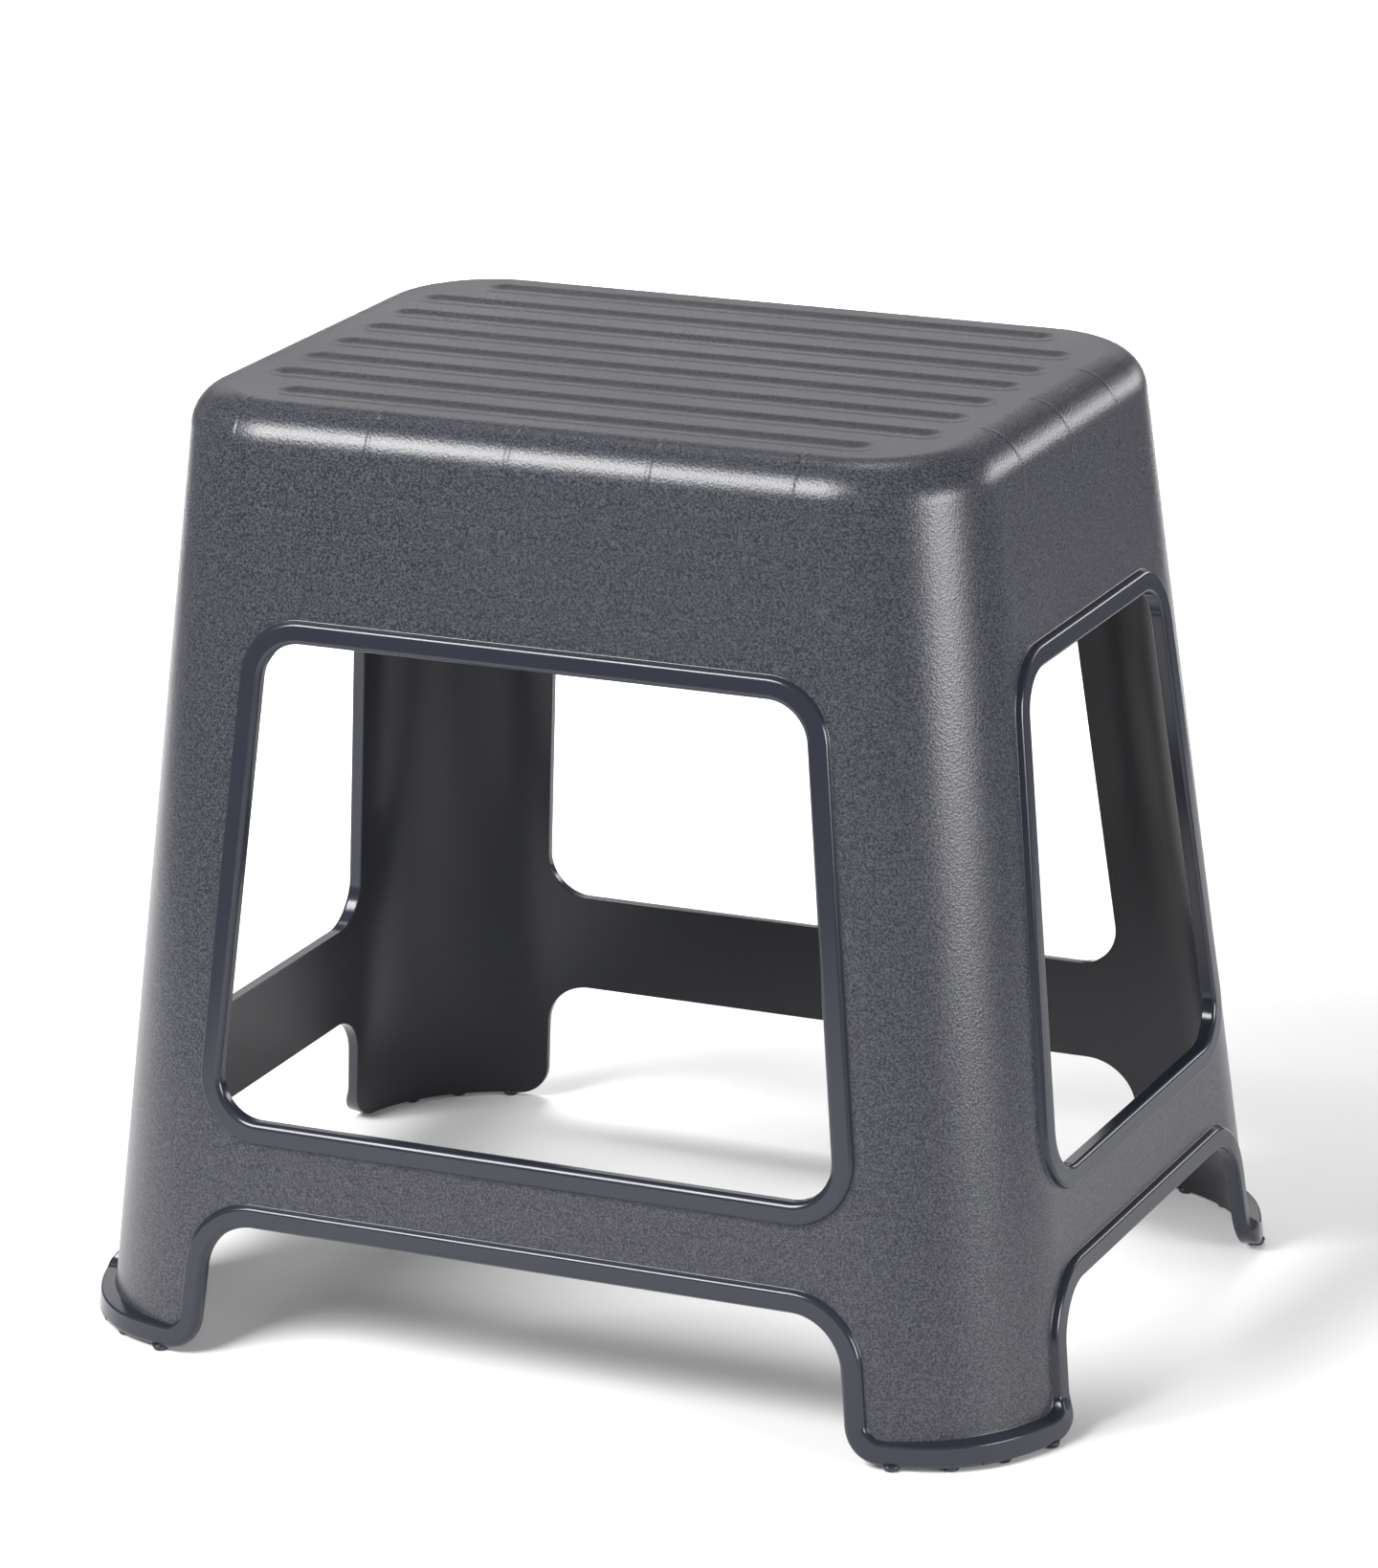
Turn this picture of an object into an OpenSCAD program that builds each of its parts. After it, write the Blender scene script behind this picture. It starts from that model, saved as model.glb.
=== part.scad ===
// Moulded step stool: one drafted hollow shell with framed openings on four
// sides, a grooved tread, flared foot flanges and sixteen grip studs.
// Millimetres, +Z up, the floor at z = 0, the long side along X.

/* [Overall] */
// overall length at the feet
base_len = 400; // [380:1:440]
// overall width at the feet
base_wid = 315; // [300:1:350]
// overall height from floor to tread
stool_h = 360; // [350:1:380]
// lean of every wall, degrees
draft = 5.87; // [5:0.05:6.5]
// shell wall thickness
wall = 3; // [2.5:0.1:3.5]

/* [Corners] */
// corner radius level with the tread
corner_top = 47.5; // [40:0.5:52]
// corner radius level with the feet
corner_foot = 63.7; // [56:0.5:70]
// rounding between tread and walls
tread_round = 16.5; // [13:0.5:18]

/* [Openings] */
// height of the lower edge of the long-side windows
win_low = 94.3; // [90:0.5:105]
// height of the upper edge of all the windows
win_high = 275.3; // [255:0.5:285]
// half width of the long-side window at its upper edge
win_x_top = 107.6; // [90:0.5:110]
// half width of the long-side window at its lower edge
win_x_low = 125; // [112:0.5:127]
// half width of the short-side window at its upper edge
win_y_top = 65.3; // [55:0.5:68]
// half width of the short-side window at its lower edge
win_y_low = 83.1; // [72:0.5:85]
// corner radius of the windows
win_r = 16; // [12:0.5:20]
// height of the arch between the feet, long side
arch_x_h = 53.5; // [45:0.1:60]
// half width of that arch level with its top
arch_x_w = 127.4; // [118:0.2:129]
// height of the arch between the feet, short side
arch_y_h = 51.3; // [45:0.1:60]
// half width of that arch level with its top
arch_y_w = 87.3; // [80:0.2:89]
// upper corner radius of the arches
arch_r = 20; // [14:0.5:24]
// outward rounding of the leg at its lowest corner
leg_r = 15; // [10:0.5:16]

/* [Rims] */
// width of the raised rim round each opening
rim_w = 8.2; // [6:0.2:9]
// height of the rim above the panel
rim_h = 2.4; // [1.5:0.1:3]
// how far the foot flange stands out of the panel
foot_out = 5.5; // [4:0.1:7]
// height of the foot flange
foot_h = 8.4; // [7:0.2:10]

/* [Tread grooves] */
// spacing of the grooves
groove_pitch = 24.8; // [22:0.2:25.5]
// width of a groove at the tread surface
groove_w = 12; // [5:0.5:14]
// depth of a groove
groove_d = 1.1; // [0.6:0.1:1.5]
// half length of the inner grooves
groove_long = 134; // [110:1:136]
// half length of the outermost grooves
groove_short = 118; // [90:1:124]

/* [Ribs and studs] */
// depth of the stiffening ribs under the tread
rib_d = 14; // [8:1:20]
// thickness of the ribs
rib_t = 2.2; // [1.8:0.1:3]
// diameter of a grip stud
stud_d = 6; // [5:0.5:7]
// how far a stud stands below the flange
stud_h = 1.5; // [1:0.1:2]

/* [Hidden] */
$fn = 96;
big = 600;

function r2(v) = round(v * 100) / 100;
z0 = stud_h;                       // underside of the foot flange
zt = stool_h;                      // tread
bh = zt - z0;
td = tan(draft);
a_t = base_len / 2 - foot_out - td * bh;   // half length at the tread, sharp
b_t = base_wid / 2 - foot_out - td * bh;   // half width at the tread, sharp

// the corner of the shell is a slender cone that leans outward and touches
// both walls, so its radius may grow less than the walls lean
ca = atan((corner_foot - corner_top) / bh);
kk = sqrt(pow(cos(draft), 2) / 2 + pow(sin(draft), 2));
lean = atan(sqrt(2) * td) - asin(sin(ca) / kk);
beta = acos((pow(sin(draft), 2) - pow(sin(ca), 2)) / pow(cos(ca), 2)) / 2;
function inset(r) = r * cos(ca) / cos(draft);
function half_x(z) = a_t + td * (zt - z);
function half_y(z) = b_t + td * (zt - z);

module mirror4() {
  for (sx = [0, 1]) for (sy = [0, 1]) mirror([sx, 0, 0]) mirror([0, sy, 0]) children();
}
module across_x() { rotate([90, 0, 90]) children(); }   // (u, v) -> (y, z), along x
module across_y() { rotate([90, 0, 0]) children(); }    // (u, v) -> (x, z), along -y
module through_x() { across_x() translate([0, 0, -big / 2]) linear_extrude(big) children(); }
module through_y() { across_y() translate([0, 0, -big / 2]) linear_extrude(big) children(); }
module slab(lo, hi) { translate([-big / 2, -big / 2, lo]) cube([big, big, hi - lo]); }

// leaning frame at the corner cone, for a skin moved outward by o
module corner_frame(o) {
  translate([r2(a_t + o - inset(corner_top + o)), r2(b_t + o - inset(corner_top + o)), zt])
    rotate([0, 0, 45]) rotate([0, -lean, 0]) children();
}
// what the corner cone takes off the sharp corner
module corner_off(o) {
  up = 30;
  down = bh / cos(lean) + 40;
  corner_frame(o) difference() {
    translate([0, 0, -down]) linear_extrude(down + up)
      polygon([[0, 0], [150 * cos(beta), -150 * sin(beta)], [230, 0], [150 * cos(beta), 150 * sin(beta)]]);
    translate([0, 0, -down - 10]) cylinder(
      r1 = corner_top + o + (down + 10) * tan(ca) + 0.03,
      r2 = corner_top + o - (up + 10) * tan(ca) + 0.03, h = down + up + 20);
  }
}
// the drafted shell shape moved outward by o, between heights lo and hi
module skin(o, lo, hi) {
  difference() {
    intersection() {
      through_x() polygon([[-half_y(lo) - o, lo], [half_y(lo) + o, lo], [half_y(hi) + o, hi], [-half_y(hi) - o, hi]]);
      through_y() polygon([[-half_x(lo) - o, lo], [half_x(lo) + o, lo], [half_x(hi) + o, hi], [-half_x(hi) - o, hi]]);
    }
    mirror4() corner_off(o);
  }
}
// what a rounding of radius r takes off the upper edge at height top
module edge_off(o, r, top) {
  cx = r2(a_t + o - inset(corner_top + o));
  cy = r2(b_t + o - inset(corner_top + o));
  e = r2(inset(corner_top + o) + td * (zt - top) - r * (1 - sin(draft)) / cos(draft) + 0.3);
  mirror4() translate([cx, cy, 0]) rotate_extrude(angle = 90) quarter(e, r, top);
  across_x() translate([0, 0, -cx]) linear_extrude(2 * cx)
    for (m = [0, 1]) mirror([m, 0]) translate([cy, 0]) quarter(e, r, top);
  across_y() translate([0, 0, -cy]) linear_extrude(2 * cy)
    for (m = [0, 1]) mirror([m, 0]) translate([cx, 0]) quarter(e, r, top);
}
module quarter(e, r, top) {
  difference() {
    translate([e, top - r]) square([r + 30, r + 20]);
    translate([e, top - r + 0.03]) circle(r);
  }
}

// a trapezium with rounded corners, grown outward by g
module trapezium(wt, wl, lo, hi, r, g) {
  s = atan((wl - wt) / (hi - lo));
  R = r + g;
  ctx = r2(wt + tan(s) * r - r / cos(s));
  clx = r2(wl - tan(s) * r - r / cos(s));
  union() {
    polygon([
      [-ctx, hi + g], [ctx, hi + g],
      [ctx + R * cos(s), hi - r + R * sin(s)], [clx + R * cos(s), lo + r + R * sin(s)],
      [clx, lo - g], [-clx, lo - g],
      [-clx - R * cos(s), lo + r + R * sin(s)], [-ctx - R * cos(s), hi - r + R * sin(s)]]);
    for (m = [-1, 1]) {
      translate([m * ctx, hi - r]) circle(R + 0.02);
      translate([m * clx, lo + r]) circle(R + 0.02);
    }
  }
}
// the open arch between two feet, grown by g
function arch_cx(wt) = r2(wt + tan(draft) * arch_r - arch_r / cos(draft));
function arch_edge(wt, h, g, z) = arch_cx(wt) + (arch_r + g) / cos(draft) + td * (h - arch_r - z);
module arch(wt, h, g) {
  R = arch_r + g;
  cx = arch_cx(wt);
  zc = h - arch_r;
  union() {
    polygon([
      [-cx, zc + R], [cx, zc + R],
      [cx + R * cos(draft), zc + R * sin(draft)],
      [arch_edge(wt, h, g, -30), -30], [-arch_edge(wt, h, g, -30), -30],
      [-cx - R * cos(draft), zc + R * sin(draft)]]);
    for (m = [-1, 1]) translate([m * cx, zc]) circle(R + 0.02);
  }
}
// takes the lowest inner corner of each leg to a round
module leg_corner(wt, h) {
  zc = z0 + leg_r - 0.05;
  c = arch_edge(wt, h, 0, zc) + (leg_r - 0.05) / cos(draft);
  for (m = [0, 1]) mirror([m, 0]) difference() {
    translate([c - leg_r - 8, z0 - 3]) square([leg_r + 8, leg_r + 3 - leg_r * sin(draft)]);
    translate([c, zc]) circle(leg_r);
  }
}

module window_x(g) { trapezium(win_x_top, win_x_low, win_low, win_high, win_r, g); }
module window_y(g) { trapezium(win_y_top, win_y_low, win_low - 1, win_high, win_r, g); }

groove_r = r2((pow(groove_w / 2, 2) + pow(groove_d, 2)) / (2 * groove_d));
module groove(half) {
  tip = groove_r - groove_d - 0.3;
  rotate([0, 90, 0]) rotate_extrude() polygon([
    [0, -half], [tip, -half], [groove_r, groove_w / 2 - half],
    [groove_r, half - groove_w / 2], [tip, half], [0, half]]);
}

module body() color([0.26, 0.27, 0.29]) difference() {
  union() {
    difference() {
      skin(0, z0, zt);
      edge_off(0, tread_round, zt);
    }
    // rims round the windows and along the arches
    intersection() {
      skin(rim_h, z0 + 2, zt - 50);
      union() {
        through_y() difference() { window_x(rim_w); window_x(-0.5); }
        through_x() difference() { window_y(rim_w); window_y(-0.5); }
        through_y() arch(arch_x_w, arch_x_h, rim_w);
        through_x() arch(arch_y_w, arch_y_h, rim_w);
      }
    }
    // foot flange
    skin(foot_out, z0, z0 + foot_h);
  }
  // hollow inside, less the ribs under the tread
  difference() {
    skin(-wall, z0 - 10, zt - wall);
    edge_off(-wall, tread_round - wall, zt - wall);
    for (y = [-1, 1]) translate([-big / 2, y * 37.2 - rib_t / 2, zt - wall - rib_d]) cube([big, rib_t, rib_d + 5]);
    for (x = [-1, 0, 1]) translate([x * 78 - rib_t / 2, -big / 2, zt - wall - rib_d]) cube([rib_t, big, rib_d + 5]);
  }
  through_y() window_x(0);
  through_x() window_y(0);
  through_y() arch(arch_x_w, arch_x_h, 0);
  through_x() arch(arch_y_w, arch_y_h, 0);
  through_y() leg_corner(arch_x_w, arch_x_h);
  through_x() leg_corner(arch_y_w, arch_y_h);
  // tread grooves
  for (i = [-3.5 : 3.5]) translate([0, i * groove_pitch, zt - groove_d + groove_r])
    groove(abs(i) > 3 ? groove_short : groove_long);
  // seats for the studs
  for (i = [0 : 3]) mirror4() translate(concat(stud_at(i), [z0 - 1])) cylinder(d = stud_d, h = 1 + stud_in);
}

// stud places on the foot, in the corner where x and y are positive
stud_in = 6;       // how far a stud reaches up into the flange
stud_back = 4.2;   // stud centre behind the flange's outer face
foot_r = corner_foot + foot_out;
foot_cx = base_len / 2 - foot_r;
foot_cy = base_wid / 2 - foot_r;
function stud_at(i) = [r2(foot_xy(i)[0]), r2(foot_xy(i)[1])];
function foot_xy(i) =
  i == 0 ? [foot_cx + 18.5, base_wid / 2 - stud_back - 0.8] :
  i == 1 ? [foot_cx + (foot_r - stud_back) * cos(54), foot_cy + (foot_r - stud_back) * sin(54)] :
  i == 2 ? [foot_cx + (foot_r - stud_back) * cos(36), foot_cy + (foot_r - stud_back) * sin(36)] :
           [base_len / 2 - stud_back, foot_cy + 19.5];

module stud(i) {
  translate(concat(stud_at(i), [0])) rotate_extrude() intersection() {
    union() {
      square([stud_d / 2 - 0.8, stud_h + stud_in]);
      translate([0, 0.8]) square([stud_d / 2, stud_h + stud_in - 0.8]);
      translate([stud_d / 2 - 0.8, 0.8]) circle(0.8);
    }
    square([stud_d, stud_h + stud_in]);
  }
}
module stud_node(sx, sy, i) color([0.15, 0.15, 0.16])
  mirror([sx, 0, 0]) mirror([0, sy, 0]) stud(i);

module stud_front_right_1() { stud_node(0, 1, 0); }
module stud_front_right_2() { stud_node(0, 1, 1); }
module stud_front_right_3() { stud_node(0, 1, 2); }
module stud_front_right_4() { stud_node(0, 1, 3); }
module stud_front_left_1() { stud_node(1, 1, 0); }
module stud_front_left_2() { stud_node(1, 1, 1); }
module stud_front_left_3() { stud_node(1, 1, 2); }
module stud_front_left_4() { stud_node(1, 1, 3); }
module stud_back_right_1() { stud_node(0, 0, 0); }
module stud_back_right_2() { stud_node(0, 0, 1); }
module stud_back_right_3() { stud_node(0, 0, 2); }
module stud_back_right_4() { stud_node(0, 0, 3); }
module stud_back_left_1() { stud_node(1, 0, 0); }
module stud_back_left_2() { stud_node(1, 0, 1); }
module stud_back_left_3() { stud_node(1, 0, 2); }
module stud_back_left_4() { stud_node(1, 0, 3); }

body();
stud_front_right_1();
stud_front_right_2();
stud_front_right_3();
stud_front_right_4();
stud_front_left_1();
stud_front_left_2();
stud_front_left_3();
stud_front_left_4();
stud_back_right_1();
stud_back_right_2();
stud_back_right_3();
stud_back_right_4();
stud_back_left_1();
stud_back_left_2();
stud_back_left_3();
stud_back_left_4();
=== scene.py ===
import math

import bpy
import numpy as np
from mathutils import Matrix, Vector
from mathutils.geometry import delaunay_2d_cdt


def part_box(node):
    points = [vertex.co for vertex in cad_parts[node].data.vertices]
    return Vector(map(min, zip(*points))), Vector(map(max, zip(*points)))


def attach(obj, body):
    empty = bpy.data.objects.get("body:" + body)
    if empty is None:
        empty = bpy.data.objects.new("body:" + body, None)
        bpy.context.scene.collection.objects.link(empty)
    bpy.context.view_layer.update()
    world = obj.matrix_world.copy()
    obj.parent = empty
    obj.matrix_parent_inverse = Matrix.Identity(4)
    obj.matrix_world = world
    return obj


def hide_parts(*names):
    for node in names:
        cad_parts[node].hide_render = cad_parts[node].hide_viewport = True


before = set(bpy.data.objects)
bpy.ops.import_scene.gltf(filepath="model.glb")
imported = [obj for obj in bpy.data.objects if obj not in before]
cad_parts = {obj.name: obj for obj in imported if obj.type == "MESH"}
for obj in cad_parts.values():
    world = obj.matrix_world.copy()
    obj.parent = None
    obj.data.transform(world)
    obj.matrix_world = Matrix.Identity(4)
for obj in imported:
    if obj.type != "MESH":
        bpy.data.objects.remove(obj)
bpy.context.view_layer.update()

# ---------------------------------------------------------------- sizes, mm
BASE_L, BASE_W, TOP = 400.0, 315.0, 360.0
DRAFT = math.radians(5.87)
TD = math.tan(DRAFT)
WALL = 3.0
R_TOP, R_FOOT = 47.5, 63.7
FIL = 16.5
Z0 = 1.5
FOOT = 5.5
RIM, RIM_SIDE = 2.2, 2.6
BH = TOP - Z0
A_T = BASE_L / 2 - FOOT - TD * BH
B_T = BASE_W / 2 - FOOT - TD * BH
G = (R_FOOT - R_TOP) / BH
WIN_HI = 275.3
WIN_X = dict(wt=107.6, wl=125.0, lo=94.3, hi=WIN_HI, r=16.0)
WIN_Y = dict(wt=65.3, wl=83.1, lo=93.3, hi=WIN_HI, r=16.0)
ARCH_X = dict(w=127.4, h=53.5, r=20.0)
ARCH_Y = dict(w=87.3, h=51.3, r=20.0)
LEG_R = 15.0
D_END = 9.9      # panel side of the rim strips
D_IN = 1.4       # inner panel starts this far from an opening's edge
GROOVES = [(i * 24.8, 118.0 if abs(i) > 3 else 134.0) for i in (-3.5, -2.5, -1.5, -0.5, 0.5, 1.5, 2.5, 3.5)]
GROOVE_D, GROOVE_HALF = 1.05, 8.2


def half_a(z):
    return A_T + TD * (TOP - z)


def half_b(z):
    return B_T + TD * (TOP - z)


def corner_m(z):
    return 1.004 * (R_TOP + G * (TOP - z))


def smooth(lo, hi, x):
    t = np.clip((x - lo) / (hi - lo), 0, 1)
    return t * t * (3 - 2 * t)


# the inside follows the foot outward a little near the floor
def flare(z):
    return 0.8 * (1 - smooth(Z0, 26.0, z)) ** 1.3


class Side:
    """One half wall from its middle to the corner's 45 degree line; u runs along it, z up, o outward."""

    def __init__(self, front):
        self.front = front

    def flat(self, z):
        return (half_a(z) if self.front else half_b(z)) - corner_m(z)

    def umax(self, z):
        return self.flat(z) + corner_m(z) * math.pi / 4

    def theta(self, u, z):
        return np.maximum(0, (u - self.flat(z)) / corner_m(z))

    def point(self, u, z, o):
        u, z, o = np.broadcast_arrays(np.asarray(u, float), np.asarray(z, float), np.asarray(o, float))
        m = corner_m(z)
        t = self.theta(u, z)
        main = np.where(t > 0, self.flat(z) + (m + o) * np.sin(t), u)
        q_other = (half_b(z) if self.front else half_a(z)) - m
        other = q_other + (m + o) * np.cos(t)
        if self.front:
            return np.stack([main, -other, z], -1)
        return np.stack([other, -main, z], -1)

    def out(self, u, z):
        t = self.theta(np.asarray(u, float), np.asarray(z, float))
        s, c = np.sin(t), np.cos(t)
        if self.front:
            return np.stack([s, -c, 0 * s], -1)
        return np.stack([c, -s, 0 * s], -1)

    def slope(self, u, z):
        t = self.theta(np.asarray(u, float), np.asarray(z, float))
        return (TD - G) * (np.sin(t) + np.cos(t)) + G

    def normal(self, u, z):
        n = self.out(u, z)
        n[..., 2] = self.slope(u, z)
        return n / np.linalg.norm(n, axis=-1, keepdims=True)


# ---------------------------------------------------------------- mesh store
class Store:
    def __init__(self):
        self.v, self.n, self.f, self.m = [], [], [], []
        self.count = 0

    def add(self, v, n, faces, mat):
        v = np.asarray(v, float).reshape(-1, 3)
        n = np.asarray(n, float).reshape(-1, 3)
        self.v.append(v)
        self.n.append(n / np.maximum(np.linalg.norm(n, axis=1, keepdims=True), 1e-9))
        mats = mat if np.ndim(mat) else [mat] * len(faces)
        for f, k in zip(faces, mats):
            self.f.append([int(i) + self.count for i in f])
            self.m.append(int(k))
        self.count += len(v)

    def grid(self, p, n, mat_rows):
        """p, n: rows x columns x 3; mat_rows gives the material between row j and j + 1."""
        r, c = p.shape[:2]
        faces, mats = [], []
        for j in range(r - 1):
            for i in range(c - 1):
                a = j * c + i
                faces.append((a, a + 1, a + c + 1, a + c))
                mats.append(mat_rows[j] if np.ndim(mat_rows) else mat_rows)
        self.add(p, n, faces, mats)


def fillet_poly(pts, radii, segs):
    """Rounded open polyline, with its tangents. radii and segs are for the inner points."""
    pts = [np.asarray(p, float) for p in pts]
    out, tan = [pts[0]], [(pts[1] - pts[0]) / np.linalg.norm(pts[1] - pts[0])]
    for i in range(1, len(pts) - 1):
        a, b, c = pts[i - 1], pts[i], pts[i + 1]
        d0, d1 = (b - a) / np.linalg.norm(b - a), (c - b) / np.linalg.norm(c - b)
        ang = math.acos(max(-1, min(1, float(d0 @ d1))))
        turn = 1 if d0[0] * d1[1] - d0[1] * d1[0] > 0 else -1
        r = radii[i - 1]
        start = b - d0 * r * math.tan(ang / 2)
        nrm = np.array([-d0[1], d0[0]]) * turn
        centre = start + nrm * r
        for k in range(segs[i - 1] + 1):
            t = turn * ang * k / segs[i - 1]
            rot = np.array([[math.cos(t), -math.sin(t)], [math.sin(t), math.cos(t)]])
            out.append(centre - rot @ nrm * r)
            tan.append(rot @ d0)
    out.append(pts[-1])
    d = pts[-1] - pts[-2]
    tan.append(d / np.linalg.norm(d))
    return np.array(out), np.array(tan)


def profile(rh, foot, edge=2.3):
    """Section across a rim: (distance from the opening's edge, height), from the inner wall to the panel.
    foot runs from 0 on a window rim to 1 on the foot flange; edge is the rounding at the opening."""
    h_in = -WALL
    w = 7.9 + 0.5 * foot
    sl = 0.75 - 0.4 * foot
    base = [(D_IN, h_in), (0, h_in), (0, rh), (w, rh + 0.0), (w + sl, 0), (D_END, 0)]
    radii = [0.5, edge, 1.5 - 0.7 * foot, 0.5]
    return fillet_poly(base, radii, [3, 8, 6, 4])


N_ROWS = len(profile(RIM, 0)[0])
GLOSS_ROWS = N_ROWS - 2


def spaced(a, b, step):
    return np.linspace(a, b, max(2, int(math.ceil(abs(b - a) / step)) + 1))


def line_pts(p, q, n, step):
    k = spaced(0, math.dist(p, q), step) / max(math.dist(p, q), 1e-9)
    return [(np.asarray(p) * (1 - t) + np.asarray(q) * t, np.asarray(n, float)) for t in k]


def arc_pts(c, r, a0, a1, segs, flip=1):
    out = []
    for t in np.linspace(a0, a1, segs + 1):
        d = np.array([math.cos(t), math.sin(t)])
        out.append((np.asarray(c) + r * d, d * flip))
    return out


def clean(pts):
    out = [pts[0]]
    for p in pts[1:]:
        if math.dist(p[0], out[-1][0]) > 1e-6:
            out.append(p)
    return out


def window_loop(wt, wl, lo, hi, r):
    s = math.atan((wl - wt) / (hi - lo))
    ct = (wt + math.tan(s) * r - r / math.cos(s), hi - r)
    cl = (wl - math.tan(s) * r - r / math.cos(s), lo + r)
    n = (math.cos(s), math.sin(s))
    pts = line_pts((0, hi), (ct[0], hi), (0, 1), 4.0)
    pts += arc_pts(ct, r, math.pi / 2, s, 16)
    pts += line_pts((ct[0] + r * n[0], ct[1] + r * n[1]), (cl[0] + r * n[0], cl[1] + r * n[1]), n, 4.0)
    pts += arc_pts(cl, r, s, -math.pi / 2, 20)
    pts += line_pts((cl[0], lo), (0, lo), (0, -1), 4.0)
    return clean(pts)


def arch_loop(side, w, h, r):
    """From the arch's middle, down the leg's inner edge, round its lowest corner and along the foot."""
    cx = w + math.tan(DRAFT) * r - r / math.cos(DRAFT)
    zc = h - r
    n = (math.cos(DRAFT), math.sin(DRAFT))
    p0 = np.array([cx + r * n[0], zc + r * n[1]])

    def edge(z):
        return cx + r / math.cos(DRAFT) + TD * (zc - z)

    zl = Z0 + LEG_R
    lc = (edge(zl) + LEG_R / math.cos(DRAFT), zl)
    p1 = np.array([lc[0] - LEG_R * n[0], lc[1] - LEG_R * n[1]])
    pts = line_pts((0, h), (cx, h), (0, 1), 4.0)
    pts += arc_pts((cx, zc), r, math.pi / 2, DRAFT, 18)
    pts += line_pts(p0, p1, n, 1.6)
    pts += arc_pts(lc, LEG_R, math.pi + DRAFT, 1.5 * math.pi, 16, flip=-1)
    pts = clean(pts)
    foot0 = len(pts) - 1
    end = side.umax(Z0)
    k = spaced(0, 1, 1.6 / (end - lc[0]))[1:]
    for t in k:
        pts.append((np.array([lc[0] * (1 - t) + end * t, Z0]), np.array([0.0, 1.0])))
    return pts, foot0, lc[0]


def strip(store, side, pts, foot_from=None, foot_x=None):
    """Rim strip along an outline; returns the outer and inner boundary rows in (u, z)."""
    cols = len(pts)
    uz = np.zeros((N_ROWS, cols, 2))
    hh = np.zeros((N_ROWS, cols))
    tg = np.zeros((N_ROWS, cols, 2))
    for i, (p, n) in enumerate(pts):
        z = p[1]
        rim = RIM if side.front else RIM_SIDE
        edge = 2.3 if side.front else 1.5
        if foot_from is None:
            rh, foot = rim, 0.0
        else:
            k = float(1 - smooth(3.5, 16.0, z)) if p[0] > 60 else 0.0
            t = float(side.theta(p[0], Z0)) / (math.pi / 4)
            full = FOOT + 0.7 * float(smooth(0.45, 1.0, t))
            if side.front:
                # the flange swells from the arch to the corner on the long sides
                full = 2.7 + (full - 2.7) * float(smooth(0.22, 0.85, t))
            rh, foot = rim + (full - rim) * k, k
            low = 1 - float(smooth(30.0, 50.0, z))
            edge = edge + ((3.1 if side.front else 2.3) - edge) * low * (1 - 0.35 * k)
        pr, tan = profile(rh, foot, edge)
        d = pr[:, 0]
        if foot_from is not None and i > foot_from:
            f = (p[0] - foot_x) / (side.umax(Z0) - foot_x)
            zz = Z0 + d
            uz[:, i, 0] = foot_x * (1 - f) + side.umax(zz) * f
            uz[:, i, 1] = zz
        else:
            uz[:, i, 0] = p[0] + n[0] * d
            uz[:, i, 1] = p[1] + n[1] * d
        hh[:, i] = pr[:, 1]
        tg[:, i] = tan
    # inner wall and reveal follow the flared foot
    inner = hh < 0
    lift = flare(uz[..., 1]) if foot_from is not None else np.zeros_like(hh)
    w = np.clip(-hh / WALL, 0, 1)
    hh = hh + np.where(inner, lift * w, 0)
    p3 = side.point(uz[..., 0], uz[..., 1], hh)
    out = side.out(uz[..., 0], uz[..., 1])
    # along the outline
    along = np.gradient(p3, axis=1)
    # across: the profile's direction d lies in the surface, h is horizontal
    eps = 0.05
    dirn = np.array([pt[1] for pt in pts])
    dvec = (side.point(uz[..., 0] + dirn[None, :, 0] * eps, uz[..., 1] + dirn[None, :, 1] * eps, hh)
            - side.point(uz[..., 0] - dirn[None, :, 0] * eps, uz[..., 1] - dirn[None, :, 1] * eps, hh)) / (2 * eps)
    across = dvec * tg[..., :1] + out * tg[..., 1:]
    nor = np.cross(along, across)
    ref = out * 1.0
    # outward side: on the panel row the normal agrees with the wall's
    sign = np.sign(np.sum(nor[-1] * ref[-1], axis=-1))
    nor = nor * sign[None, :, None]
    mats = [2] * 2 + [1] * (GLOSS_ROWS - 3) + [0] * 2
    mats = mats[: N_ROWS - 1]
    store.grid(p3, nor, mats)
    return uz[-1], uz[0]


def inside_poly(poly, pts):
    x, y = pts[:, 0], pts[:, 1]
    res = np.zeros(len(pts), bool)
    n = len(poly)
    for i in range(n):
        x0, y0 = poly[i]
        x1, y1 = poly[(i + 1) % n]
        c = (y0 > y) != (y1 > y)
        if not c.any():
            continue
        xi = (x1 - x0) * (y - y0) / (y1 - y0 + 1e-30) + x0
        res ^= c & (x < xi)
    return res


def near_edges(poly, pts, dist):
    ok = np.ones(len(pts), bool)
    a = np.asarray(poly)
    b = np.roll(a, -1, axis=0)
    for p, q in zip(a, b):
        d = q - p
        t = np.clip(((pts - p) @ d) / max(float(d @ d), 1e-12), 0, 1)
        ok &= np.linalg.norm(pts - (p + t[:, None] * d), axis=1) > dist
    return ok


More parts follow.
